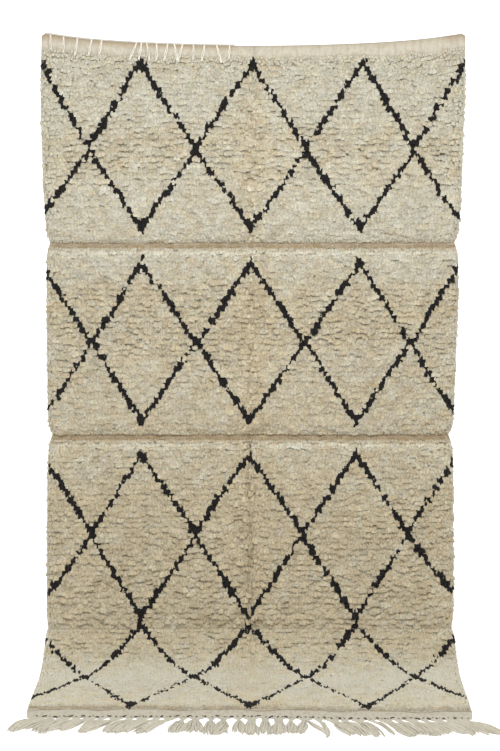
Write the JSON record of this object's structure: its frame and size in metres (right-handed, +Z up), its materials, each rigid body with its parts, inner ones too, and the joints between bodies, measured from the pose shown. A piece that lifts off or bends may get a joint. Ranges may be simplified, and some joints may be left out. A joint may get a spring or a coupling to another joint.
{
  "type": "beni ourain rug",
  "caption": "Cream shag-pile rug with a dark diamond lattice, hung by its top edge with its tasselled end turned forward onto the floor.",
  "frame": {"origin": "middle of the part's outline on the floor that its lower end lies on", "axes": "+Z up, +X across the rug to the viewer's right, the pile facing -Y"},
  "size_m": [1.611, 0.832, 2.2957],
  "materials": {
    "shag_wool": "undyed cream wool shag with charcoal wool lines, matt",
    "warp_cotton": "off-white twisted warp yarn, matt"
  },
  "bodies": {
    "root": {"rug": "shag_wool", "bottom_fringe": "warp_cotton", "top_fringe": "warp_cotton"}
  },
  "joints": []
}
